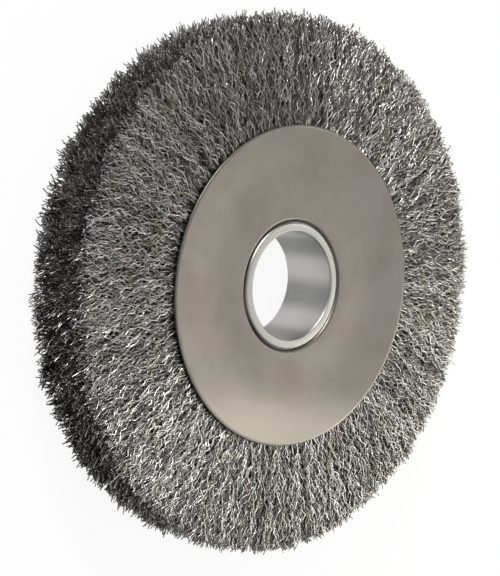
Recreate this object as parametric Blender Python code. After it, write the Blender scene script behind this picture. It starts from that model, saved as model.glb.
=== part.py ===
"""Crimped wire wheel brush for a bench or pedestal grinder, lying on its side.

The wheel spins about Z, and its origin is the middle of the arbor hole, half way through it.
Crimped steel wires are bent double round two retaining rings, side by side. Each ring with its
wires is one row, and all the wires' ends point outwards. Two stamped side plates squeeze the rows
together, and a short steel sleeve, rolled over at both ends, clinches the plates and lines the hole.
"""

import math
import random

import bmesh
import bpy

MM = 0.001

# Arbor sleeve: a tube whose two ends are rolled outwards over the plates.
ARBOR_HOLE_DIAMETER = 50.8 * MM
SLEEVE_WALL = 1.5 * MM
SLEEVE_LIP_WIDTH = 2.8 * MM
SLEEVE_LIP_SLOPE = 0.2 * MM
SLEEVE_LIP_EDGE_ROUND = 0.4 * MM
SLEEVE_MOUTH_ROUND = 0.9 * MM

# Side plates: stamped discs. A shallow dish round the hole takes in the sleeve's lips, then comes a
# flat land for the grinder's flanges, and past it the plate rises as a cup to an edge turned down
# towards the wires.
PLATE_DIAMETER = 150.0 * MM
PLATE_THICKNESS = 1.2 * MM
PLATE_BEND_ROUND = 0.5 * MM
SEAT_SPAN = 26.5 * MM
SEAT_WIDTH = 3.0 * MM
DISH_DEPTH = 1.7 * MM
DISH_RUN = 0.9 * MM
DISH_CREST_ROUND = 1.4 * MM
LAND_DIAMETER = 100.0 * MM
CUP_RISE = 4.15 * MM
EDGE_TURN_WIDTH = 1.2 * MM
EDGE_TURN_DROP = 0.3 * MM

# Retaining rings: hoops of round bar, one inside the bend of each row of wires.
RING_BAR_DIAMETER = 4.5 * MM

# Wire rows: each is the wires of one ring as one body, with locks, crimp and tips in relief.
BRUSH_DIAMETER = 250.0 * MM
BRUSH_WIDTH = 41.0 * MM
BRUSH_CORNER_ROUND = 2.5 * MM
SLEEVE_TO_BEND_GAP = 2.0 * MM
LEG_RISE_SHARE = 0.5
LOCK_HEIGHT = 3.0 * MM
LOWEST_LOCK_SHARE = 0.4
CRIMP_SWAY = 1.3 * MM
TIP_HEIGHT = 4.5 * MM
TIP_SCATTER = 0.7 * MM
SMALLEST_TIP = 0.01 * MM
ROW_WEAVE = 1.2 * MM
ROW_GAP = 0.6 * MM
SEAM_WIDTH = 0.8 * MM

# Gap between pieces that press on each other.
SEATING_GAP = 0.3 * MM

TURNED_SEGMENTS = 44
CORNER_STEPS = 2
RING_SECTION_SIDES = 8
ROOT_STATIONS = 28
STATIONS_PER_ROOT = 6
BEND_STEPS = 4
FACE_LOOPS = 5
TREAD_LOOPS = 3
WIRE_SEED = 11

# Places that follow from those sizes.
bore_radius = ARBOR_HOLE_DIAMETER / 2
sleeve_radius = bore_radius + SLEEVE_WALL
plate_radius = PLATE_DIAMETER / 2
plate_hole_radius = sleeve_radius + SEATING_GAP
seat_radius = plate_hole_radius + SEAT_WIDTH
land_start_radius = seat_radius + DISH_RUN
land_end_radius = LAND_DIAMETER / 2
rim_radius = plate_radius - EDGE_TURN_WIDTH
seat_height = SEAT_SPAN / 2
land_height = seat_height + DISH_DEPTH
rim_height = land_height + CUP_RISE
edge_height = rim_height - EDGE_TURN_DROP
lip_underside = seat_height + SEATING_GAP
lip_top = lip_underside + SLEEVE_WALL
bend_top = seat_height - PLATE_THICKNESS - SEATING_GAP
bend_bottom = ROW_GAP / 2
bend_reach = (bend_top - bend_bottom) / 2
ring_height = (bend_top + bend_bottom) / 2
ring_centre_radius = sleeve_radius + SLEEVE_TO_BEND_GAP + bend_reach
leg_risen_radius = ring_centre_radius + LEG_RISE_SHARE * (land_end_radius - ring_centre_radius)
ring_bar_radius = RING_BAR_DIAMETER / 2
tip_radius = BRUSH_DIAMETER / 2
face_height = BRUSH_WIDTH / 2


def steel(name, colour, roughness):
    """A plain steel finish."""
    material = bpy.data.materials.new(name)
    material.use_nodes = True
    shader = material.node_tree.nodes["Principled BSDF"]
    shader.inputs["Base Color"].default_value = (*colour, 1.0)
    shader.inputs["Metallic"].default_value = 1.0
    shader.inputs["Roughness"].default_value = roughness
    return material


def place(name, mesh):
    """Links a mesh to the scene as a named object."""
    part = bpy.data.objects.new(name, mesh)
    bpy.context.scene.collection.objects.link(part)
    return part


def finish(name, shape, material, sharp_angle=40):
    """Turns a bmesh into a mesh with outward faces, shaded smooth between its sharp edges."""
    bmesh.ops.recalc_face_normals(shape, faces=shape.faces)
    mesh = bpy.data.meshes.new(name)
    shape.to_mesh(mesh)
    shape.free()
    mesh.shade_smooth()
    mesh.set_sharp_from_angle(angle=math.radians(sharp_angle))
    mesh.materials.append(material)
    return mesh


def turned(outline, segments):
    """Turns a closed outline of (radius, height) points about Z into one solid."""
    shape = bmesh.new()
    corners = [shape.verts.new((radius, 0.0, height)) for radius, height in outline]
    edges = [shape.edges.new((corners[i - 1], corners[i])) for i in range(len(corners))]
    bmesh.ops.spin(
        shape,
        geom=corners + edges,
        cent=(0, 0, 0),
        axis=(0, 0, 1),
        angle=math.tau,
        steps=segments,
        use_merge=True,
    )
    return shape


def rounded(corners):
    """The points of a line through (radius, height, round) corners, with an arc at each round."""
    points = []
    for i, (x, y, size) in enumerate(corners):
        if size == 0:
            points.append((x, y))
            continue
        before = corners[i - 1]
        after = corners[(i + 1) % len(corners)]
        back = math.atan2(before[1] - y, before[0] - x)
        ahead = math.atan2(after[1] - y, after[0] - x)
        turn = (ahead - back + math.pi) % math.tau - math.pi
        side = math.copysign(1.0, turn)
        middle = back + turn / 2
        reach = size / abs(math.sin(turn / 2))
        centre = (x + reach * math.cos(middle), y + reach * math.sin(middle))
        sweep = math.pi - abs(turn)
        first = middle + math.pi + side * sweep / 2
        for step in range(CORNER_STEPS + 1):
            angle = first - side * sweep * step / CORNER_STEPS
            points.append((centre[0] + size * math.cos(angle), centre[1] + size * math.sin(angle)))
    return points


def below(line, depth):
    """A line of (radius, height) points moved squarely downwards by a depth."""
    moved = []
    for i, (x, y) in enumerate(line):
        before = line[i - 1] if i else line[0]
        after = line[i + 1] if i < len(line) - 1 else line[-1]
        first = math.atan2(y - before[1], x - before[0]) if i else None
        second = math.atan2(after[1] - y, after[0] - x) if i < len(line) - 1 else first
        first = second if first is None else first
        normal = (first + second) / 2 - math.pi / 2
        reach = depth / math.cos((second - first) / 2)
        moved.append((x + reach * math.cos(normal), y + reach * math.sin(normal)))
    return moved


def make_sleeve(material):
    """The tube that lines the arbor hole, with a lip rolled over at each end."""
    lip_radius = sleeve_radius + SLEEVE_LIP_WIDTH
    upper = [
        (bore_radius, lip_top, SLEEVE_MOUTH_ROUND),
        (lip_radius, lip_top - SLEEVE_LIP_SLOPE, SLEEVE_LIP_EDGE_ROUND),
        (lip_radius, lip_underside, 0),
        (sleeve_radius, lip_underside, 0),
    ]
    lower = [(radius, -height, size) for radius, height, size in reversed(upper)]
    shape = turned(rounded(upper + lower), TURNED_SEGMENTS)
    place("arbor_sleeve", finish("arbor_sleeve", shape, material))


def make_plates(material):
    """The two side plates. The rear one is the front one turned over."""
    top_line = rounded(
        [
            (plate_hole_radius, seat_height, 0),
            (seat_radius, seat_height, PLATE_BEND_ROUND),
            (land_start_radius, land_height, DISH_CREST_ROUND),
            (land_end_radius, land_height, 0),
            (rim_radius, rim_height, PLATE_BEND_ROUND + PLATE_THICKNESS),
            (plate_radius, edge_height, 0),
        ]
    )
    outline = top_line + below(top_line, PLATE_THICKNESS)[::-1]
    mesh = finish("side_plate", turned(outline, TURNED_SEGMENTS), material)
    place("front_plate", mesh)
    place("rear_plate", mesh).rotation_euler = (math.pi, 0, 0)


def hoop(bar_radius, height):
    """A hoop of round bar, which is a retaining ring or the pocket that it lies in."""
    angles = [math.tau * side / RING_SECTION_SIDES for side in range(RING_SECTION_SIDES)]
    outline = [
        (ring_centre_radius + bar_radius * math.cos(a), height + bar_radius * math.sin(a)) for a in angles
    ]
    return turned(outline, ROOT_STATIONS)


def make_ring(name, height, material):
    """The hoop that the wires of one row are bent round."""
    place(name, finish(name, hoop(ring_bar_radius, height), material))


def plain_loop(radius, height):
    """A loop of root stations, for the part of a row that the plates hide."""
    angles = [math.tau * station / ROOT_STATIONS for station in range(ROOT_STATIONS)]
    return [(radius * math.cos(a), radius * math.sin(a), height) for a in angles]


def lock_loop(radius, height, out=0.0, rise=0.0, sway=0.0, scatter=0.0, first_lock=0):
    """A fine loop that rises and falls from one lock of wires to the next.

    out and rise say how far a lock's crest, from -1 to 1, moves a point outwards and upwards.
    sway shifts the loop round the wheel, so that the locks wave from side to side as crimped
    wires do, scatter moves each point by chance, and first_lock says which stations are crests.
    """
    count = ROOT_STATIONS * STATIONS_PER_ROOT
    loop = []
    for station in range(count):
        crest = chance.uniform(LOWEST_LOCK_SHARE, 1.0)
        if (station + first_lock) % 2:
            crest = -crest
        angle = math.tau * station / count + (sway + chance.uniform(-scatter, scatter)) / radius
        distance = radius + out * crest
        level = height + rise * crest + chance.uniform(-scatter, scatter)
        loop.append((distance * math.cos(angle), distance * math.sin(angle), level))
    return loop


def row_loops(side, meeting_line):
    """The loops round the section of one row of wires, on the front (1) or the rear (-1)."""
    loops = []

    # The wires' bend, from the middle of the wheel round the inside of the ring to the plate.
    for step in range(BEND_STEPS + 1):
        angle = -math.pi / 2 - math.pi * step / BEND_STEPS
        radius = ring_centre_radius + bend_reach * math.cos(angle)
        loops.append(plain_loop(radius, side * (ring_height + bend_reach * math.sin(angle))))

    # The legs, squeezed by the plate's land and cup out to its edge.
    plate_line = [
        (leg_risen_radius, land_height),
        (land_end_radius, land_height),
        (rim_radius, rim_height),
        (plate_radius + SEATING_GAP, edge_height),
    ]
    *legs, root = below(plate_line, PLATE_THICKNESS + SEATING_GAP)
    loops.extend(plain_loop(radius, side * height) for radius, height in legs)

    # The open face, which spreads from the plate's edge to the full width of the brush.
    body_radius = tip_radius - TIP_HEIGHT / 2
    face_end = body_radius - BRUSH_CORNER_ROUND
    half_lock = LOCK_HEIGHT / 2
    loops.append(lock_loop(root[0], side * (root[1] - half_lock / 2), rise=side * half_lock / 2))
    for step in range(1, FACE_LOOPS + 1):
        share = step / FACE_LOOPS
        radius = root[0] + (face_end - root[0]) * share
        height = root[1] + (face_height - half_lock - root[1]) * math.sin(share * math.pi / 2)
        sway = CRIMP_SWAY if step % 2 else -CRIMP_SWAY
        loops.append(lock_loop(radius, side * height, rise=side * half_lock, sway=sway))

    # The tread, where the locks end in staggered tips.
    corner_height = face_height - LOCK_HEIGHT - BRUSH_CORNER_ROUND
    for step in range(TREAD_LOOPS):
        height = corner_height * (1 - step / TREAD_LOOPS)
        tips = lock_loop(body_radius, side * height, TIP_HEIGHT / 2, scatter=TIP_SCATTER, first_lock=step)
        loops.append(tips)

    # The face that the two rows turn to each other.
    loops.append([(x, y, z + side * ROW_GAP / 2) for x, y, z in meeting_line])
    loops.append(plain_loop(legs[-1][0], side * ROW_GAP / 2))
    return loops


def reach(vert):
    """How far a point lies from the wheel's axis."""
    return math.hypot(vert.co.x, vert.co.y)


def skin(shape, first, second):
    """Faces between two neighbouring loops, of the same count or one finer than the other.

    Where the counts match and the points reach out unequally, as on the tread, each gap is split
    along its deeper diagonal, so that crests stand out as tips.
    """
    if len(first) > len(second):
        first, second = second, first
    ratio = len(second) // len(first)
    half = ratio // 2
    for station, vert in enumerate(first):
        following = first[(station + 1) % len(first)]
        fine = [second[(station * ratio + step) % len(second)] for step in range(ratio + 1)]
        if ratio > 1:
            for step in range(half):
                shape.faces.new((vert, fine[step + 1], fine[step]))
            shape.faces.new((vert, following, fine[half]))
            for step in range(half, ratio):
                shape.faces.new((following, fine[step + 1], fine[step]))
            continue
        rise = reach(vert) + reach(fine[1]) - reach(following) - reach(fine[0])
        if abs(rise) < SMALLEST_TIP:
            shape.faces.new((vert, following, fine[1], fine[0]))
        elif rise < 0:
            shape.faces.new((vert, following, fine[1]))
            shape.faces.new((vert, fine[1], fine[0]))
        else:
            shape.faces.new((vert, following, fine[0]))
            shape.faces.new((following, fine[1], fine[0]))


def cut(part, name, mesh):
    """Takes a hidden cutter away from a part."""
    cutter = place(name, mesh)
    cutter.hide_render = True
    cutter.display_type = "WIRE"
    modifier = part.modifiers.new(name, "BOOLEAN")
    modifier.operation = "DIFFERENCE"
    modifier.object = cutter


def make_row(name, side, meeting_line, material):
    """One row of wires: bent under its ring, squeezed by the plates and spread out to a brush."""
    shape = bmesh.new()
    rows = [[shape.verts.new(point) for point in loop] for loop in row_loops(side, meeting_line)]
    for i in range(len(rows)):
        skin(shape, rows[i - 1], rows[i])
    row = place(name, finish(name, shape, material, sharp_angle=25))

    # The pocket that the ring lies in.
    pocket = hoop(ring_bar_radius + SEATING_GAP, side * ring_height)
    cut(row, name + "_pocket", finish(name + "_pocket", pocket, material))

    # The seam in the bend, where the first and the last wires round the ring meet.
    seam = bmesh.new()
    bmesh.ops.create_cube(seam, size=1.0)
    depth = bend_reach + SLEEVE_TO_BEND_GAP
    bmesh.ops.scale(seam, vec=(depth, SEAM_WIDTH, 2 * bend_reach + SEATING_GAP), verts=seam.verts)
    middle = (ring_centre_radius - depth / 2, 0, side * ring_height)
    bmesh.ops.translate(seam, vec=middle, verts=seam.verts)
    cut(row, name + "_seam", finish(name + "_seam", seam, material))


def make_rows(material):
    """The two rows of wires, whose tips weave into each other along the middle of the tread."""
    body_radius = tip_radius - TIP_HEIGHT / 2
    meeting_line = lock_loop(body_radius, 0, TIP_HEIGHT / 2, ROW_WEAVE, first_lock=TREAD_LOOPS)
    make_row("front_wires", 1, meeting_line, material)
    make_row("rear_wires", -1, meeting_line, material)


for old in list(bpy.data.objects):
    bpy.data.objects.remove(old)

chance = random.Random(WIRE_SEED)
plate_steel = steel("plate_steel", (0.52, 0.50, 0.46), 0.38)
sleeve_steel = steel("sleeve_steel", (0.70, 0.70, 0.68), 0.25)
ring_steel = steel("ring_steel", (0.40, 0.40, 0.40), 0.5)
wire_steel = steel("wire_steel", (0.36, 0.35, 0.33), 0.45)

make_sleeve(sleeve_steel)
make_plates(plate_steel)
make_ring("front_ring", ring_height, ring_steel)
make_ring("rear_ring", -ring_height, ring_steel)
make_rows(wire_steel)
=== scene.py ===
"""Crimped wire wheel brush for a bench grinder, dressed for the camera.

The wheel lies on its rear face. A rolled sleeve, two stamped plates and two hidden rings hold
thousands of crimped steel wires, which are made here one by one on a bed painted dark as shade.
"""

import math

import bmesh
import bpy
from mathutils import Matrix, Vector, noise


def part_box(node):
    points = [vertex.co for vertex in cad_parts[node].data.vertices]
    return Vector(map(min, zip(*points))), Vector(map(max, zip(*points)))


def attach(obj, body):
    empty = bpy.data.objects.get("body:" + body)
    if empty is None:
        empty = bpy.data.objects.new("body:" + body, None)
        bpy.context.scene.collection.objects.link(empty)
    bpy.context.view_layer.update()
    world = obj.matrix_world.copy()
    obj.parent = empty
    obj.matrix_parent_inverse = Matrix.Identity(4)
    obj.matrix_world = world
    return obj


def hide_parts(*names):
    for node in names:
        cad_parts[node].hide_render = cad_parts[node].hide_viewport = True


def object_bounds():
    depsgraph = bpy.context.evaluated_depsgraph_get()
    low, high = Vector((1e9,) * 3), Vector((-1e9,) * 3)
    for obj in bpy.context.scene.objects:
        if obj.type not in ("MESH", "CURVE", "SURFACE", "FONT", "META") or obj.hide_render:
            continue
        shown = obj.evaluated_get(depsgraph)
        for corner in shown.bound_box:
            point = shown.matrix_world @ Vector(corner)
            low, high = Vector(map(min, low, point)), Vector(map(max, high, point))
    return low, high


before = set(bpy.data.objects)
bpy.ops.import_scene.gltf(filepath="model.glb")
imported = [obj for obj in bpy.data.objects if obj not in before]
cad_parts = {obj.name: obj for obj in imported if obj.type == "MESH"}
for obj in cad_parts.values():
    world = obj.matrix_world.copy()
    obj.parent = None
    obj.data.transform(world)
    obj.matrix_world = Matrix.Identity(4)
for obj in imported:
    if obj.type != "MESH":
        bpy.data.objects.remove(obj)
cad_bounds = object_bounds()

# Camera: the photo's own viewpoint, about 66 cm away and half way between the wheel's face and
# its edge. It is turned on its side, so that the wheel's axis runs across the picture.
camera_place = Vector((0.0, -0.46045, 0.47241))
camera_aim = Vector((0.00349, -0.03063, 0.0185))
camera_roll = math.radians(97.93)
lens_length = 86.84
sensor_width = 36.0
nearest_seen = 0.01

camera_data = bpy.data.cameras.new("camera")
camera_data.lens = lens_length
camera_data.sensor_width = sensor_width
camera_data.clip_start = nearest_seen
camera = bpy.data.objects.new("camera", camera_data)
camera.location = camera_place
aim_turn = (camera_aim - camera_place).to_track_quat("-Z", "Y").to_matrix()
camera.rotation_euler = (aim_turn @ Matrix.Rotation(camera_roll, 3, "Z")).to_euler()
bpy.context.scene.collection.objects.link(camera)
bpy.context.scene.camera = camera
bpy.context.scene.view_settings.view_transform = "Standard"

# Sky: a pale studio round the wheel, darkest near the table and a little darker on the camera's
# side. It shows plain white behind the wheel, and the steel mirrors a darker sky than that.
sky_colour = (1.0, 1.0, 1.0, 1.0)
sky_low = 0.12
sky_high = 0.50
sky_highest_at = 0.8
sky_behind_camera = 0.85
sky_beyond = 1.2
sky_side_reach = 0.7
glossy_sky = 0.16


def feed(tree, value, socket):
    """Links an output to a socket, or sets the socket to a number or a colour."""
    if isinstance(value, bpy.types.NodeSocket):
        tree.links.new(value, socket)
    else:
        socket.default_value = value


def math_node(tree, operation, *values):
    """The result of a Math node on sockets and numbers."""
    made = tree.nodes.new("ShaderNodeMath")
    made.operation = operation
    for socket, value in zip(made.inputs, values):
        feed(tree, value, socket)
    return made.outputs[0]


def ramp(tree, value, start, end, low=0.0, high=1.0):
    """A number that goes smoothly from low to high while a value goes from start to end."""
    made = tree.nodes.new("ShaderNodeMapRange")
    made.interpolation_type = "SMOOTHSTEP"
    feed(tree, value, made.inputs["Value"])
    feed(tree, start, made.inputs["From Min"])
    feed(tree, end, made.inputs["From Max"])
    feed(tree, low, made.inputs["To Min"])
    feed(tree, high, made.inputs["To Max"])
    return made.outputs["Result"]


def background_rays(tree):
    """Masks of the rays that see the surroundings, straight or through glass, or mirrored."""
    path = tree.nodes.new("ShaderNodeLightPath")
    straight = path.outputs["Is Camera Ray"]
    through = path.outputs["Is Transmission Ray"]
    return math_node(tree, "MAXIMUM", straight, through), path.outputs["Is Glossy Ray"]


world = bpy.data.worlds.new("studio")
bpy.context.scene.world = world
world.use_nodes = True
sky = world.node_tree
sky_light = sky.nodes["Background"]
sky_light.inputs["Color"].default_value = sky_colour
sky_direction = sky.nodes.new("ShaderNodeSeparateXYZ")
feed(sky, sky.nodes.new("ShaderNodeTexCoord").outputs["Generated"], sky_direction.inputs[0])
towards_far_side = sky_direction.outputs["Y"]
upward = ramp(sky, sky_direction.outputs["Z"], 0.0, sky_highest_at, sky_low, sky_high)
away = ramp(sky, towards_far_side, -sky_side_reach, sky_side_reach, sky_behind_camera, sky_beyond)
seen, glossy = background_rays(sky)
mirrored = math_node(sky, "MULTIPLY", glossy, glossy_sky)
light = math_node(sky, "MAXIMUM", math_node(sky, "MULTIPLY", upward, away), mirrored)
feed(sky, math_node(sky, "MAXIMUM", light, seen), sky_light.inputs["Strength"])

# Floor: a wide white table under the wheel's rear face. It shows plain white too, but for a small
# share that keeps the wheel's own soft shadow.
floor_half = 20.0
floor_colour = (0.85, 0.85, 0.85, 1.0)
floor_roughness = 0.9
glossy_floor = 0.55
shadow_share = 0.08

lowest = cad_bounds[0].z
floor_corners = [
    (-floor_half, -floor_half, lowest),
    (floor_half, -floor_half, lowest),
    (floor_half, floor_half, lowest),
    (-floor_half, floor_half, lowest),
]
floor_mesh = bpy.data.meshes.new("floor")
floor_mesh.from_pydata(floor_corners, [], [(0, 1, 2, 3)])
floor = bpy.data.objects.new("floor", floor_mesh)
bpy.context.scene.collection.objects.link(floor)

white_floor = bpy.data.materials.new("white_floor")
white_floor.use_nodes = True
tree = white_floor.node_tree
shader = tree.nodes["Principled BSDF"]
shader.inputs["Base Color"].default_value = floor_colour
shader.inputs["Roughness"].default_value = floor_roughness
glow = tree.nodes.new("ShaderNodeEmission")
shown_floor = tree.nodes.new("ShaderNodeMixShader")
seen, glossy = background_rays(tree)
shown = math_node(tree, "MULTIPLY", seen, 1.0 - shadow_share)
mirrored = math_node(tree, "MULTIPLY", glossy, glossy_floor)
feed(tree, math_node(tree, "MAXIMUM", shown, mirrored), shown_floor.inputs["Fac"])
feed(tree, shader.outputs[0], shown_floor.inputs[1])
feed(tree, glow.outputs[0], shown_floor.inputs[2])
feed(tree, shown_floor.outputs[0], tree.nodes["Material Output"].inputs["Surface"])
floor_mesh.materials.append(white_floor)

# Lamps: square softboxes. The key stands low at the top of the picture, a little to the camera's
# side, and makes the wires glint in two opposite sectors. A nearer, creamier one beyond the wheel's
# lower right makes the crimps stand out, and two weak ones give the plate its sheen.
for name, direction, distance, size, power, colour in (
    ("key_softbox", (-0.75, -0.45, 0.48), 1.4, 0.40, 16.5, (1.0, 1.0, 1.0)),
    ("near_softbox", (0.17, 0.62, 0.28), 0.44, 0.24, 0.66, (1.0, 0.95, 0.86)),
    ("sheen_softbox", (-0.28, 0.71, 0.64), 1.5, 0.30, 2.8, (1.0, 0.98, 0.93)),
    ("high_softbox", (0.24, 0.36, 0.90), 1.5, 0.60, 2.0, (1.0, 1.0, 1.0)),
):
    lamp_data = bpy.data.lights.new(name, "AREA")
    lamp_data.size = size
    lamp_data.energy = power
    lamp_data.color = colour
    lamp = bpy.data.objects.new(name, lamp_data)
    lamp.location = Vector(direction).normalized() * distance
    lamp.rotation_euler = lamp.location.to_track_quat("Z", "Y").to_euler()
    bpy.context.scene.collection.objects.link(lamp)

# Arbor sleeve: a piece of drawn steel tube, pushed through both plates and rolled over at its
# ends, so that its two bright lips clinch the whole wheel together.
sleeve_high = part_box("arbor_sleeve")[1]
bore_radius = 0.0254
sleeve_wall = 0.0015
lip_slope = 0.00012
lip_edge_round = 0.0009
mouth_round = 0.0009
arc_steps = 6
turned_segments = 192
crease_angle = math.radians(35)


def rounded(corners, steps):
    """The points of a line through (radius, height, round) corners, with an arc at each round."""
    points = []
    for i, (x, y, size) in enumerate(corners):
        if size == 0:
            points.append((x, y))
            continue
        before = corners[i - 1]
        after = corners[(i + 1) % len(corners)]
        back = math.atan2(before[1] - y, before[0] - x)
        ahead = math.atan2(after[1] - y, after[0] - x)
        turn = (ahead - back + math.pi) % math.tau - math.pi
        side = math.copysign(1.0, turn)
        middle = back + turn / 2
        reach = size / abs(math.sin(turn / 2))
        centre = (x + reach * math.cos(middle), y + reach * math.sin(middle))
        sweep = math.pi - abs(turn)
        first = middle + math.pi + side * sweep / 2
        for step in range(steps + 1):
            angle = first - side * sweep * step / steps
            points.append((centre[0] + size * math.cos(angle), centre[1] + size * math.sin(angle)))
    return points


def turned_piece(name, outline, segments, material):
    """A closed outline of (radius, height) points turned about the wheel's axis."""
    shape = bmesh.new()
    angles = [math.tau * step / segments for step in range(segments)]
    rows = []
    for radius, height in outline:
        row = [(radius * math.cos(angle), radius * math.sin(angle), height) for angle in angles]
        rows.append([shape.verts.new(point) for point in row])
    for i in range(len(rows)):
        for step in range(segments):
            following = (step + 1) % segments
            corners = (rows[i - 1][step], rows[i - 1][following], rows[i][following], rows[i][step])
            shape.faces.new(corners)
    bmesh.ops.recalc_face_normals(shape, faces=shape.faces)
    mesh = bpy.data.meshes.new(name)
    shape.to_mesh(mesh)
    shape.free()
    mesh.shade_smooth()
    mesh.set_sharp_from_angle(angle=crease_angle)
    mesh.materials.append(material)
    piece = bpy.data.objects.new(name, mesh)
    bpy.context.scene.collection.objects.link(piece)
    return piece


lip_radius = sleeve_high.x
lip_top = sleeve_high.z
lip_underside = lip_top - sleeve_wall
upper_lip = [
    (bore_radius, lip_top, mouth_round),
    (lip_radius, lip_top - lip_slope, lip_edge_round),
    (lip_radius, lip_underside, 0),
    (bore_radius + sleeve_wall, lip_underside, 0),
]
lower_lip = [(radius, -height, size) for radius, height, size in reversed(upper_lip)]
sleeve_outline = rounded(upper_lip + lower_lip, arc_steps)

# Mill finish: the slow patches of stain and the fine grain that all bare steel of the wheel has.
patch_detail = 4.0
patch_start = 0.35
patch_end = 0.7
grain_scale = 2500.0
grain_height = 0.0002


def new_group(name, inputs, outputs):
    """An empty shader group, the sockets that it is given and the sockets of its result."""
    group = bpy.data.node_groups.new(name, "ShaderNodeTree")
    for socket_name, kind, value in inputs:
        socket = group.interface.new_socket(socket_name, in_out="INPUT", socket_type=kind)
        socket.default_value = value
    for socket_name, kind in outputs:
        group.interface.new_socket(socket_name, in_out="OUTPUT", socket_type=kind)
    given = group.nodes.new("NodeGroupInput").outputs
    return group, given, group.nodes.new("NodeGroupOutput").inputs


def noise_value(tree, vector, scale, detail=2.0, roughness=0.6):
    """A noise pattern from 0 to 1 on a vector."""
    made = tree.nodes.new("ShaderNodeTexNoise")
    feed(tree, vector, made.inputs["Vector"])
    feed(tree, scale, made.inputs["Scale"])
    feed(tree, detail, made.inputs["Detail"])
    feed(tree, roughness, made.inputs["Roughness"])
    return made.outputs["Fac"]


# A Mix node has sockets of one name for numbers and for colours, so these are told by their place.
mix_factor, mix_first, mix_second = 0, 6, 7
mix_result = 2


def mix_colour(tree, factor, first, second):
    """A mix of two colours, each a socket or a colour."""
    made = tree.nodes.new("ShaderNodeMix")
    made.data_type = "RGBA"
    feed(tree, factor, made.inputs[mix_factor])
    feed(tree, first, made.inputs[mix_first])
    feed(tree, second, made.inputs[mix_second])
    return made.outputs[mix_result]


mill_finish, given, result = new_group(
    "mill_finish",
    [
        ("Colour", "NodeSocketColor", (0.5, 0.5, 0.5, 1.0)),
        ("Stain", "NodeSocketColor", (0.4, 0.4, 0.4, 1.0)),
        ("Stain Scale", "NodeSocketFloat", 30.0),
        ("Stain Share", "NodeSocketFloat", 0.5),
        ("Roughness", "NodeSocketFloat", 0.35),
        ("Roughness Spread", "NodeSocketFloat", 0.1),
        ("Grain Scale", "NodeSocketFloat", grain_scale),
    ],
    [("Colour", "NodeSocketColor"), ("Roughness", "NodeSocketFloat"), ("Height", "NodeSocketFloat")],
)
place = mill_finish.nodes.new("ShaderNodeTexCoord").outputs["Object"]
patches = noise_value(mill_finish, place, given["Stain Scale"], patch_detail)
grain = noise_value(mill_finish, place, given["Grain Scale"])
stained = ramp(mill_finish, patches, patch_start, patch_end)
stained = math_node(mill_finish, "MULTIPLY", stained, given["Stain Share"])
colour = mix_colour(mill_finish, stained, given["Colour"], given["Stain"])
uneven = math_node(mill_finish, "SUBTRACT", math_node(mill_finish, "ADD", grain, patches), 1.0)
rough = math_node(mill_finish, "MULTIPLY", uneven, given["Roughness Spread"])
rough = math_node(mill_finish, "ADD", rough, given["Roughness"])
feed(mill_finish, colour, result["Colour"])
feed(mill_finish, rough, result["Roughness"])
feed(mill_finish, grain, result["Height"])


def steel(name, colour, stain, roughness, spread, stain_scale=30.0, stain_share=0.5, bump=0.02):
    """A bare steel material with the mill finish."""
    material = bpy.data.materials.new(name)
    material.use_nodes = True
    tree = material.node_tree
    shader = tree.nodes["Principled BSDF"]
    shader.inputs["Metallic"].default_value = 1.0
    finish = tree.nodes.new("ShaderNodeGroup")
    finish.node_tree = mill_finish
    finish.inputs["Colour"].default_value = (*colour, 1.0)
    finish.inputs["Stain"].default_value = (*stain, 1.0)
    finish.inputs["Stain Scale"].default_value = stain_scale
    finish.inputs["Stain Share"].default_value = stain_share
    finish.inputs["Roughness"].default_value = roughness
    finish.inputs["Roughness Spread"].default_value = spread
    finish.inputs["Grain Scale"].default_value = grain_scale
    relief = tree.nodes.new("ShaderNodeBump")
    relief.inputs["Strength"].default_value = bump
    relief.inputs["Distance"].default_value = grain_height
    feed(tree, finish.outputs["Height"], relief.inputs["Height"])
    feed(tree, finish.outputs["Colour"], shader.inputs["Base Color"])
    feed(tree, finish.outputs["Roughness"], shader.inputs["Roughness"])
    feed(tree, relief.outputs["Normal"], shader.inputs["Normal"])
    return material


tube_steel = steel(
    "tube_steel",
    colour=(0.375, 0.370, 0.356),
    stain=(0.325, 0.325, 0.312),
    roughness=0.42,
    spread=0.10,
    bump=0.01,
)

# The bore wall gets a painted reflection: pale and dark bands round the axis, for the floor and
# table mirrored in it. Its lips keep the tube's own finish colour.
reflection_band_count = 6.0
reflection_band_turn = math.radians(138)
reflection_band_dark = (0.38, 0.38, 0.37, 1.0)
reflection_band_pale = (0.70, 0.69, 0.67, 1.0)
lip_start = lip_top - mouth_round * 0.5
lip_full = lip_top - mouth_round * 0.15


def object_axes(tree):
    """The X, Y and Z of a place on the piece, in metres."""
    split = tree.nodes.new("ShaderNodeSeparateXYZ")
    feed(tree, tree.nodes.new("ShaderNodeTexCoord").outputs["Object"], split.inputs[0])
    return split.outputs


tree = tube_steel.node_tree
shader = tree.nodes["Principled BSDF"]
x, y, z = object_axes(tree)
# Painted reflection: the bands' count and turn put pale and dark ones where the bore mirrors the
# floor.
round_axis = math_node(tree, "ARCTAN2", y, x)
reflection_bands = math_node(tree, "ADD", math_node(tree, "MULTIPLY", round_axis, reflection_band_count), reflection_band_turn)
reflection_bands = ramp(tree, math_node(tree, "SINE", reflection_bands), -1.0, 1.0)
wall_reflection_colour = mix_colour(tree, reflection_bands, reflection_band_dark, reflection_band_pale)
lip = ramp(tree, math_node(tree, "ABSOLUTE", z), lip_start, lip_full)
lip_colour = shader.inputs["Base Color"].links[0].from_socket
feed(tree, mix_colour(tree, lip, wall_reflection_colour, lip_colour), shader.inputs["Base Color"])

sleeve = turned_piece("rolled_sleeve", sleeve_outline, turned_segments, tube_steel)
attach(sleeve, "root")
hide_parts("arbor_sleeve")

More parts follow.
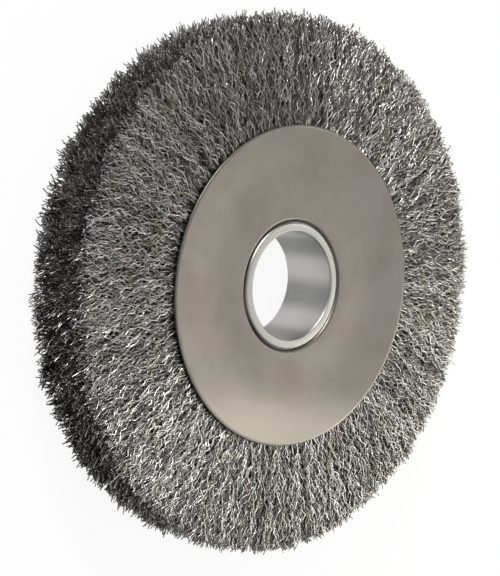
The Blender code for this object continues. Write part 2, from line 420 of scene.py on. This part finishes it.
# Side plates: stamped from satin sheet steel, with a shallow dish round the hole that takes in the
# sleeve's lip, a flat land, and a cup that rises past it to the edge, where it squeezes the wires.
plate_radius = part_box("front_plate")[1].x
plate_thickness = 0.0012
seating_gap = 0.0003
plate_hole_radius = bore_radius + sleeve_wall + seating_gap
plate_bend_round = 0.0005
seat_height = lip_underside - seating_gap
seat_width = 0.0030
seat_radius = plate_hole_radius + seat_width
dish_depth = 0.0017
dish_run = 0.0010
dish_crest_round = 0.0018
land_height = seat_height + dish_depth
land_end_radius = 0.050
cup_bend_round = 0.130
cup_rise = 0.00415
edge_round = 0.0017
edge_turn_width = 0.0012
edge_turn_drop = 0.0003
rim_radius = plate_radius - edge_turn_width
rim_height = land_height + cup_rise
edge_height = rim_height - edge_turn_drop
cut_edge_round = 0.0004
cut_edge_steps = 5


def below(line, depth):
    """A line of (radius, height) points moved squarely downwards by a depth."""
    moved = []
    for i, (x, y) in enumerate(line):
        before = line[i - 1] if i else line[0]
        after = line[i + 1] if i < len(line) - 1 else line[-1]
        first = math.atan2(y - before[1], x - before[0]) if i else None
        second = math.atan2(after[1] - y, after[0] - x) if i < len(line) - 1 else first
        first = second if first is None else first
        normal = (first + second) / 2 - math.pi / 2
        reach = depth / math.cos((second - first) / 2)
        moved.append((x + reach * math.cos(normal), y + reach * math.sin(normal)))
    return moved


plate_line = rounded(
    [
        (plate_hole_radius, seat_height, 0),
        (seat_radius, seat_height, plate_bend_round),
        (seat_radius + dish_run, land_height, dish_crest_round),
        (land_end_radius, land_height, cup_bend_round),
        (rim_radius, rim_height, edge_round),
        (plate_radius, edge_height, 0),
    ],
    arc_steps,
)
plate_top = [(radius, height, 0) for radius, height in plate_line[:-1]]
cut_edge = (*plate_line[-1], cut_edge_round)
plate_underside = [(radius, height, 0) for radius, height in below(plate_line, plate_thickness)]
plate_outline = rounded(plate_top + [cut_edge] + plate_underside[::-1], cut_edge_steps)

plate_steel = steel(
    "plate_steel",
    colour=(0.200, 0.189, 0.170),
    stain=(0.175, 0.157, 0.143),
    roughness=0.42,
    spread=0.08,
    stain_scale=45.0,
    stain_share=0.8,
)

# Painted sheen: the plate is painted lighter and creamier towards its edge on its +X side, where a
# lamp's sheen falls. Its sheared edge is painted near-black: dark cut steel, and painted shade too.
painted_sheen_start = 0.042
painted_sheen_full = 0.068
painted_sheen_share = 0.8
painted_sheen_colour = (0.340, 0.321, 0.279, 1.0)
sheared_shade_start = plate_radius - 0.00008
sheared_shade_full = plate_radius - 0.00002
sheared_shade_share = 0.85
sheared_shade_colour = (0.03, 0.028, 0.025, 1.0)


def axis_distance(tree, x, y):
    """How far a place is from the wheel's axis."""
    squares = [math_node(tree, "MULTIPLY", value, value) for value in (x, y)]
    return math_node(tree, "SQRT", math_node(tree, "ADD", *squares))


tree = plate_steel.node_tree
shader = tree.nodes["Principled BSDF"]
x, y, _ = object_axes(tree)
# Painted sheen: a lighter, creamier colour that grows towards the +X side of the plate.
painted_sheen = ramp(tree, x, painted_sheen_start, painted_sheen_full, 0.0, painted_sheen_share)
satin_and_sheen = shader.inputs["Base Color"].links[0].from_socket
satin_and_sheen = mix_colour(tree, painted_sheen, satin_and_sheen, painted_sheen_colour)
from_axis = axis_distance(tree, x, y)
# Partly painted shade: the plate's cut face turns near-black, for dark cut steel and the shade
# beside it.
sheared_shade = ramp(tree, from_axis, sheared_shade_start, sheared_shade_full, 0.0, sheared_shade_share)
feed(tree, mix_colour(tree, sheared_shade, satin_and_sheen, sheared_shade_colour), shader.inputs["Base Color"])

for cad_node, name, side in (("front_plate", "front_disc", 1), ("rear_plate", "rear_disc", -1)):
    outline = [(radius, height * side) for radius, height in plate_outline]
    disc = turned_piece(name, outline, turned_segments, plate_steel)
    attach(disc, "root")
    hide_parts(cad_node)

# Retaining rings: hoops of plain bar in the bend of the wires, hidden inside. They keep their
# construction shape and get a dull bar finish.
bar_steel = steel(
    "bar_steel",
    colour=(0.35, 0.34, 0.33),
    stain=(0.22, 0.19, 0.16),
    roughness=0.45,
    spread=0.15,
)
for cad_node in ("front_ring", "rear_ring"):
    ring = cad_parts[cad_node]
    ring.data.materials.clear()
    ring.data.materials.append(bar_steel)

# Wire bed: the imported wires deep below the surface, as one body for each row, painted dark as
# shade for the brush's shadowed depths. Only chinks of it show between the single wires that follow.
brush_radius = 0.125
face_height = 0.0191
flare_power = 5.0
root_radius = plate_radius + seating_gap
legs_start_radius = 0.0423
legs_depth = plate_thickness + seating_gap
bed_root_depth = 0.0014
bed_depth = 0.0034
bed_rim_radius = brush_radius - 2 * bed_depth
bed_rows = 10
bed_tread_rows = 4
bed_tread_bulge = bed_depth * 0.3
bed_segments = 240
bed_flat_middle = 0.0001
bed_pattern_scale = 400.0
bed_unevenness = 0.0012

# The wires' legs run out under the plate, a small gap below it.
legs_cover = [
    (legs_start_radius, land_height),
    (land_end_radius, land_height),
    (rim_radius, rim_height),
    (root_radius, edge_height),
]
*legs, (_, root_height) = below(legs_cover, legs_depth)


def fill_height(radius):
    """Half the width of the brush at a radius, which grows from the plates' edge to the rim."""
    share = min(max((radius - root_radius) / (brush_radius - root_radius), 0.0), 1.0)
    return root_height + (face_height - root_height) * (1 - (1 - share) ** flare_power)


# The bed's section goes from the middle of the wheel round its face to the middle of the tread.
bed_outline = [(legs_start_radius, 0.0)]
bed_outline += [(radius, height - bed_root_depth / 2) for radius, height in legs]
covered_radius = legs[-1][0]
for step in range(1, bed_rows + 1):
    share = step / bed_rows
    radius = covered_radius + (bed_rim_radius - covered_radius) * share
    depth = bed_root_depth + (bed_depth - bed_root_depth) * share
    bed_outline.append((radius, fill_height(radius) - depth))
bed_corner = fill_height(bed_rim_radius) - bed_depth
for step in range(1, bed_tread_rows + 1):
    share = step / bed_tread_rows
    bulge = bed_tread_bulge * math.sin(share * math.pi / 2)
    bed_outline.append((bed_rim_radius + bulge, bed_corner * (1 - share)))

# Packed wires show as dark and pale streaks that run outwards: pale wire tops, and painted shade
# between them.
packed_roughness = 0.45
# Painted shade: the near-black colour of the gaps between packed wires.
packed_shade_dark = (0.016, 0.016, 0.016, 1.0)
packed_pale = (0.25, 0.242, 0.228, 1.0)
streak_scale = 950.0
streak_squeeze = 0.35
streak_start = 0.42
streak_full = 0.66
streak_bump = 0.9
streak_height = 0.0008

packed_wires = bpy.data.materials.new("packed_wires")
packed_wires.use_nodes = True
tree = packed_wires.node_tree
shader = tree.nodes["Principled BSDF"]
shader.inputs["Metallic"].default_value = 1.0
shader.inputs["Roughness"].default_value = packed_roughness
x, y, z = object_axes(tree)
round_axis = math_node(tree, "ARCTAN2", y, x)
from_axis = axis_distance(tree, x, y)
streaked = tree.nodes.new("ShaderNodeCombineXYZ")
feed(tree, math_node(tree, "MULTIPLY", round_axis, brush_radius), streaked.inputs["X"])
feed(tree, math_node(tree, "MULTIPLY", from_axis, streak_squeeze), streaked.inputs["Y"])
feed(tree, z, streaked.inputs["Z"])
streaks = noise_value(tree, streaked.outputs[0], streak_scale)
packed = ramp(tree, streaks, streak_start, streak_full)
feed(tree, mix_colour(tree, packed, packed_shade_dark, packed_pale), shader.inputs["Base Color"])
relief = tree.nodes.new("ShaderNodeBump")
relief.inputs["Strength"].default_value = streak_bump
relief.inputs["Distance"].default_value = streak_height
feed(tree, streaks, relief.inputs["Height"])
feed(tree, relief.outputs["Normal"], shader.inputs["Normal"])

for cad_node, name, side in (("front_wires", "front_bed", 1), ("rear_wires", "rear_bed", -1)):
    outline = [(radius, side * height) for radius, height in bed_outline]
    bed = turned_piece(name, outline, bed_segments, packed_wires)
    for vert in bed.data.vertices:
        if math.hypot(vert.co.x, vert.co.y) > root_radius and abs(vert.co.z) > bed_flat_middle:
            push = noise.noise(vert.co * bed_pattern_scale) * bed_unevenness
            vert.co.z += side * push
    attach(bed, "root")
    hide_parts(cad_node)

# Crimped wires: spring steel wire of about 0.6 mm, crimped between toothed rolls, bent double
# round the rings and cut to length, so that its ends lean every way a little. One Geometry Nodes
# tree makes a batch of them, whose sizes are its inputs.
wire_tree = bpy.data.node_groups.new("crimped_wires", "GeometryNodeTree")
wire_tree.interface.new_socket("Geometry", in_out="INPUT", socket_type="NodeSocketGeometry")
wire_inputs = {}
for input_name, kind, value in (
    ("Wires", "NodeSocketInt", 1000),
    ("Seed", "NodeSocketInt", 1),
    ("Bends", "NodeSocketInt", 7),
    ("Start Radius", "NodeSocketFloat", 0.074),
    ("Start Scatter", "NodeSocketFloat", 0.001),
    ("Tip Radius", "NodeSocketFloat", 0.1240),
    ("Tip Scatter", "NodeSocketFloat", 0.0015),
    ("Long Tips", "NodeSocketFloat", 0.0015),
    ("Level Low", "NodeSocketFloat", 0.8),
    ("Level High", "NodeSocketFloat", 1.0),
    ("Crimp", "NodeSocketFloat", 0.0008),
    ("Thickness", "NodeSocketFloat", 0.00064),
    ("Lean", "NodeSocketFloat", 0.05),
    ("Wander", "NodeSocketFloat", 0.0016),
    ("Lock Push", "NodeSocketFloat", 0.009),
    ("Root Radius", "NodeSocketFloat", root_radius),
    ("Root Height", "NodeSocketFloat", root_height),
    ("Rim Height", "NodeSocketFloat", face_height),
    ("Side", "NodeSocketFloat", 1.0),
):
    socket = wire_tree.interface.new_socket(input_name, in_out="INPUT", socket_type=kind)
    socket.default_value = value
    wire_inputs[input_name] = socket.identifier
socket = wire_tree.interface.new_socket("Material", in_out="INPUT", socket_type="NodeSocketMaterial")
wire_inputs["Material"] = socket.identifier
wire_tree.interface.new_socket("Geometry", in_out="OUTPUT", socket_type="NodeSocketGeometry")
given = wire_tree.nodes.new("NodeGroupInput").outputs


def node(kind, **values):
    """A node of the wire tree, with its sockets set by name to numbers or linked outputs."""
    made = wire_tree.nodes.new(kind)
    for name, value in values.items():
        feed(wire_tree, value, made.inputs[name.replace("_", " ")])
    return made


def calc(operation, *values):
    """The result of a Math node of the wire tree."""
    return math_node(wire_tree, operation, *values)


def sum_of(*values):
    """The sum of two or more sockets or numbers."""
    total = values[0]
    for value in values[1:]:
        total = calc("ADD", total, value)
    return total


def product(*values):
    """The product of two or more sockets or numbers."""
    total = values[0]
    for value in values[1:]:
        total = calc("MULTIPLY", total, value)
    return total


# One strand is a straight run of points, which the tree then bends to the crimp.
strand_line = node("GeometryNodeCurvePrimitiveLine").outputs["Curve"]
points_each = sum_of(given["Bends"], 1.0)
strand = node("GeometryNodeResampleCurve", Curve=strand_line, Count=points_each).outputs["Curve"]
seeds = node("GeometryNodePoints", Count=given["Wires"]).outputs[0]
copies = node("GeometryNodeInstanceOnPoints", Points=seeds, Instance=strand).outputs[0]
strands = node("GeometryNodeRealizeInstances", Geometry=copies).outputs[0]

# Each strand and each point has a key of its own, which no other batch has. A half is added
# before a number is rounded down, so that it can't fall short.
strand_keys_a_batch = 50000.0
point_keys_a_batch = 500000.0
index = node("GeometryNodeInputIndex").outputs[0]
strand_number = calc("FLOOR", calc("DIVIDE", sum_of(index, 0.5), points_each))
step_number = calc("SUBTRACT", index, product(strand_number, points_each))
strand_key = sum_of(strand_number, product(given["Seed"], strand_keys_a_batch))
point_key = sum_of(index, product(given["Seed"], point_keys_a_batch))


# A Random Value node's sockets are told by their place too.
chance_low, chance_high, chance_key, chance_draw = 2, 3, 7, 8
chance_result = 1


def chance(low, high, draw, key=strand_key):
    """A random number that is the same for one key, and differs from one draw to the next."""
    made = wire_tree.nodes.new("FunctionNodeRandomValue")
    made.data_type = "FLOAT"
    feed(wire_tree, low, made.inputs[chance_low])
    feed(wire_tree, high, made.inputs[chance_high])
    feed(wire_tree, key, made.inputs[chance_key])
    feed(wire_tree, draw, made.inputs[chance_draw])
    return made.outputs[chance_result]


# Where a strand starts and ends. Tips are short more often than long, but a few are much longer
# than the rest.
shortest_tip = -1.0
longest_tip = 0.5
long_tip_rarity = 4.0
around = chance(0.0, math.tau, draw=1)
level = chance(given["Level Low"], given["Level High"], draw=2)
start = sum_of(given["Start Radius"], product(chance(-1.0, 1.0, draw=3), given["Start Scatter"]))
tip_scatter = product(chance(shortest_tip, longest_tip, draw=4), given["Tip Scatter"])
long_tip = calc("POWER", chance(0.0, 1.0, draw=13), long_tip_rarity)
tip = sum_of(given["Tip Radius"], tip_scatter, product(long_tip, given["Long Tips"]))

# Locks: neighbouring wires lean together, more and more towards their tips.
lock_detail = 1.0
fine_lock_scale = 170.0
broad_lock_scale = 45.0
around_x = calc("COSINE", around)
around_y = calc("SINE", around)
rim_place = node(
    "ShaderNodeCombineXYZ",
    X=product(around_x, given["Tip Radius"]),
    Y=product(around_y, given["Tip Radius"]),
    Z=product(level, given["Rim Height"]),
).outputs[0]


def lock_noise(scale):
    """Three chance pushes, each about -0.5 to 0.5, alike for wires of the same lock."""
    made = node("ShaderNodeTexNoise", Vector=rim_place, Scale=scale, Detail=lock_detail)
    split = node("ShaderNodeSeparateXYZ", Vector=made.outputs["Color"])
    return [calc("SUBTRACT", output, 0.5) for output in split.outputs]


fine_lock = lock_noise(fine_lock_scale)
broad_lock = lock_noise(broad_lock_scale)

# Where each point of a strand lies along it, and how wide the brush is there. The bends are a
# little unevenly spaced, but for the last, which is the tip.
bend_scatter = 0.0005
tip_share = 0.99
freeing = 30.0
share = calc("DIVIDE", step_number, given["Bends"])
not_tip = calc("LESS_THAN", share, tip_share)
length = calc("SUBTRACT", tip, start)
bend_shift = chance(-bend_scatter, bend_scatter, draw=14, key=point_key)
along = sum_of(product(length, share), product(bend_shift, not_tip))
reach_out = sum_of(start, along)
fill_run = calc("SUBTRACT", given["Tip Radius"], given["Root Radius"])
fill_share = calc("DIVIDE", calc("SUBTRACT", reach_out, given["Root Radius"]), fill_run)
fill_share = calc("MINIMUM", calc("MAXIMUM", fill_share, 0.0), 1.0)
flare = calc("SUBTRACT", 1.0, calc("POWER", calc("SUBTRACT", 1.0, fill_share), flare_power))
widening = calc("SUBTRACT", given["Rim Height"], given["Root Height"])
half_width = sum_of(given["Root Height"], product(widening, flare))
loose = product(fill_share, fill_share)
freed = calc("MINIMUM", product(fill_share, freeing), 1.0)

# The crimp bends each strand to and fro, in a plane of its own that twists a little on the way.
crimp_least = 0.5
crimp_most = 1.3
crimp_twist = 0.5
odd = calc("MODULO", sum_of(step_number, 0.1), 2.0)
swing = calc("SUBTRACT", product(calc("GREATER_THAN", odd, 1.0), 2.0), 1.0)
crimp_size = chance(crimp_least, crimp_most, draw=7, key=point_key)
crimp = product(given["Crimp"], crimp_size, swing, freed)
twist = chance(-crimp_twist, crimp_twist, draw=12, key=point_key)
crimp_turn = sum_of(chance(0.0, math.tau, draw=8), twist)
crimp_side = product(crimp, calc("COSINE", crimp_turn))
crimp_up = product(crimp, calc("SINE", crimp_turn))

# Wires cross each other: each one wanders to the side, and dives under its neighbours and back.
wander_slow = 180.0
wander_quick = 420.0
dive_slow = 150.0
dive_quick = 380.0
dive_share = 0.55


def wave(slow, quick, draw):
    """A slow wave along a strand, from -1 to 1, with a length and a start of its own."""
    turn = sum_of(product(along, chance(slow, quick, draw)), chance(0.0, math.tau, draw + 1))
    return calc("SINE", turn)


wander = product(given["Wander"], freed, wave(wander_slow, wander_quick, draw=20))
dive = sum_of(wave(dive_slow, dive_quick, draw=22), -1.0)
dive = product(given["Wander"], freed, dive, dive_share)

# All of it together, as three moves: round the axis, off the middle of the wheel, and outwards.
# The corners of the brush are worn round, so wires near its faces end a little short.
lock_rise = 0.35
fine_lock_reach = 0.9
broad_lock_reach = 0.3
corner_power = 8.0
corner_wear = 0.0040
lock_push = product(loose, given["Lock Push"])
sideways = sum_of(
    product(given["Lean"], chance(-1.0, 1.0, draw=6), along),
    wander,
    crimp_side,
    product(lock_push, sum_of(fine_lock[0], broad_lock[0])),
)
upwards = sum_of(
    product(level, sum_of(half_width, dive)),
    crimp_up,
    product(lock_push, level, product(fine_lock[1], lock_rise)),
)
lock_reach = sum_of(
    product(fine_lock[2], fine_lock_reach),
    product(broad_lock[2], broad_lock_reach),
)
outwards = sum_of(reach_out, product(lock_push, lock_reach))
corner = calc("POWER", calc("ABSOLUTE", level), corner_power)
wear = product(corner, loose, chance(0.0, corner_wear, draw=24))
outwards = calc("SUBTRACT", outwards, wear)
position = node(
    "ShaderNodeCombineXYZ",
    X=calc("SUBTRACT", product(outwards, around_x), product(sideways, around_y)),
    Y=sum_of(product(outwards, around_y), product(sideways, around_x)),
    Z=product(upwards, given["Side"]),
).outputs[0]
bent = node("GeometryNodeSetPosition", Geometry=strands, Position=position).outputs[0]

# Each strand keeps a tone of its own for the material, and gets its thickness.
wire_sides = 3
toned = node("GeometryNodeStoreNamedAttribute", Geometry=bent)
toned.data_type = "FLOAT"
toned.domain = "POINT"
toned.inputs["Name"].default_value = "wire_tone"
feed(wire_tree, chance(0.0, 1.0, draw=11), toned.inputs["Value"])
section = node(
    "GeometryNodeCurvePrimitiveCircle",
    Resolution=wire_sides,
    Radius=product(given["Thickness"], 0.5),
).outputs["Curve"]
tubes = node(
    "GeometryNodeCurveToMesh",
    Curve=toned.outputs[0],
    Profile_Curve=section,
    Fill_Caps=True,
).outputs[0]
smooth = node("GeometryNodeSetShadeSmooth", Geometry=tubes).outputs[0]
whole = node("GeometryNodeRealizeInstances", Geometry=smooth).outputs[0]
painted = node("GeometryNodeSetMaterial", Geometry=whole, Material=given["Material"]).outputs[0]
feed(wire_tree, painted, wire_tree.nodes.new("NodeGroupOutput").inputs[0])

# Grey crimped steel: each wire has its own tone, and faint olive and rosy tints run over them.
wire_dark = (0.10, 0.098, 0.094, 1.0)
wire_pale = (0.80, 0.782, 0.742, 1.0)
tint_share = 0.7
olive = (0.34, 0.35, 0.26, 1.0)
olive_scale = 95.0
olive_start = 0.55
olive_full = 0.75
rosy = (0.36, 0.28, 0.27, 1.0)
rosy_scale = 110.0
rosy_start = 0.58
rosy_full = 0.78
rosy_shift = (3.1, 1.7, 0.4)
tint_roughness = 0.5
wear_scale = 1200.0
wear_start = 0.3
wear_full = 0.7
smoothest = 0.22
roughest = 0.40

wire_steel = bpy.data.materials.new("crimped_wire_steel")
wire_steel.use_nodes = True
tree = wire_steel.node_tree
shader = tree.nodes["Principled BSDF"]
shader.inputs["Metallic"].default_value = 1.0
tone = tree.nodes.new("ShaderNodeAttribute")
tone.attribute_name = "wire_tone"
place = tree.nodes.new("ShaderNodeTexCoord").outputs["Object"]
shifted = tree.nodes.new("ShaderNodeVectorMath")
shifted.operation = "ADD"
shifted.inputs[1].default_value = rosy_shift
feed(tree, place, shifted.inputs[0])
colour = mix_colour(tree, tone.outputs["Fac"], wire_dark, wire_pale)
for vector, scale, start_at, full_at, tint in (
    (place, olive_scale, olive_start, olive_full, olive),
    (shifted.outputs[0], rosy_scale, rosy_start, rosy_full, rosy),
):
    patches = noise_value(tree, vector, scale, roughness=tint_roughness)
    colour = mix_colour(tree, ramp(tree, patches, start_at, full_at, 0.0, tint_share), colour, tint)
feed(tree, colour, shader.inputs["Base Color"])
worn = noise_value(tree, place, wear_scale)
rough = ramp(tree, worn, wear_start, wear_full, smoothest, roughest)
feed(tree, rough, shader.inputs["Roughness"])

# Long wires start under the plate's edge, and shorter ones fill the growing width further out.
# The tread has thinner, straighter ends of its own. The rear row is hardly seen and has fewer.
full = {"Start Radius": 0.0735, "Start Scatter": 0.0005, "Bends": 18}
rear_full = {**full, "Bends": 15}
middling = {"Start Radius": 0.089, "Start Scatter": 0.003, "Bends": 13}
short = {"Start Radius": 0.104, "Start Scatter": 0.003, "Bends": 8}
tread = {
    "Start Radius": 0.111,
    "Start Scatter": 0.001,
    "Bends": 4,
    "Tip Radius": 0.1243,
    "Tip Scatter": 0.0015,
    "Long Tips": 0.0030,
    "Level Low": 0.0,
    "Level High": 1.0,
    "Lean": 0.14,
    "Crimp": 0.0005,
    "Thickness": 0.00054,
}
batches = [
    ("front_face_wires_a", "front_wires", 1.0, 1550, full),
    ("front_face_wires_b", "front_wires", 1.0, 1550, full),
    ("front_middle_wires", "front_wires", 1.0, 1100, middling),
    ("front_rim_wires", "front_wires", 1.0, 1100, short),
    ("front_tread_wires", "front_wires", 1.0, 5400, tread),
    ("rear_tread_wires", "rear_wires", -1.0, 5400, tread),
    ("rear_face_wires", "rear_wires", -1.0, 800, rear_full),
    ("rear_middle_wires", "rear_wires", -1.0, 500, middling),
    ("rear_rim_wires", "rear_wires", -1.0, 500, short),
]
for seed, (name, cad_node, side, count, sizes) in enumerate(batches, start=1):
    guide = bpy.data.objects.new(name + "_guide", bpy.data.meshes.new(name + "_guide"))
    bpy.context.scene.collection.objects.link(guide)
    modifier = guide.modifiers.new("wires", "NODES")
    modifier.node_group = wire_tree
    settings = {**sizes, "Wires": count, "Seed": seed, "Side": side, "Material": wire_steel}
    for input_name, value in settings.items():
        modifier[wire_inputs[input_name]] = value
    bpy.context.view_layer.update()
    depsgraph = bpy.context.evaluated_depsgraph_get()
    mesh = bpy.data.meshes.new_from_object(guide.evaluated_get(depsgraph))
    mesh.name = name
    wires = bpy.data.objects.new(name, mesh)
    bpy.context.scene.collection.objects.link(wires)
    bpy.data.objects.remove(guide)
    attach(wires, "root")
    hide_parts(cad_node)
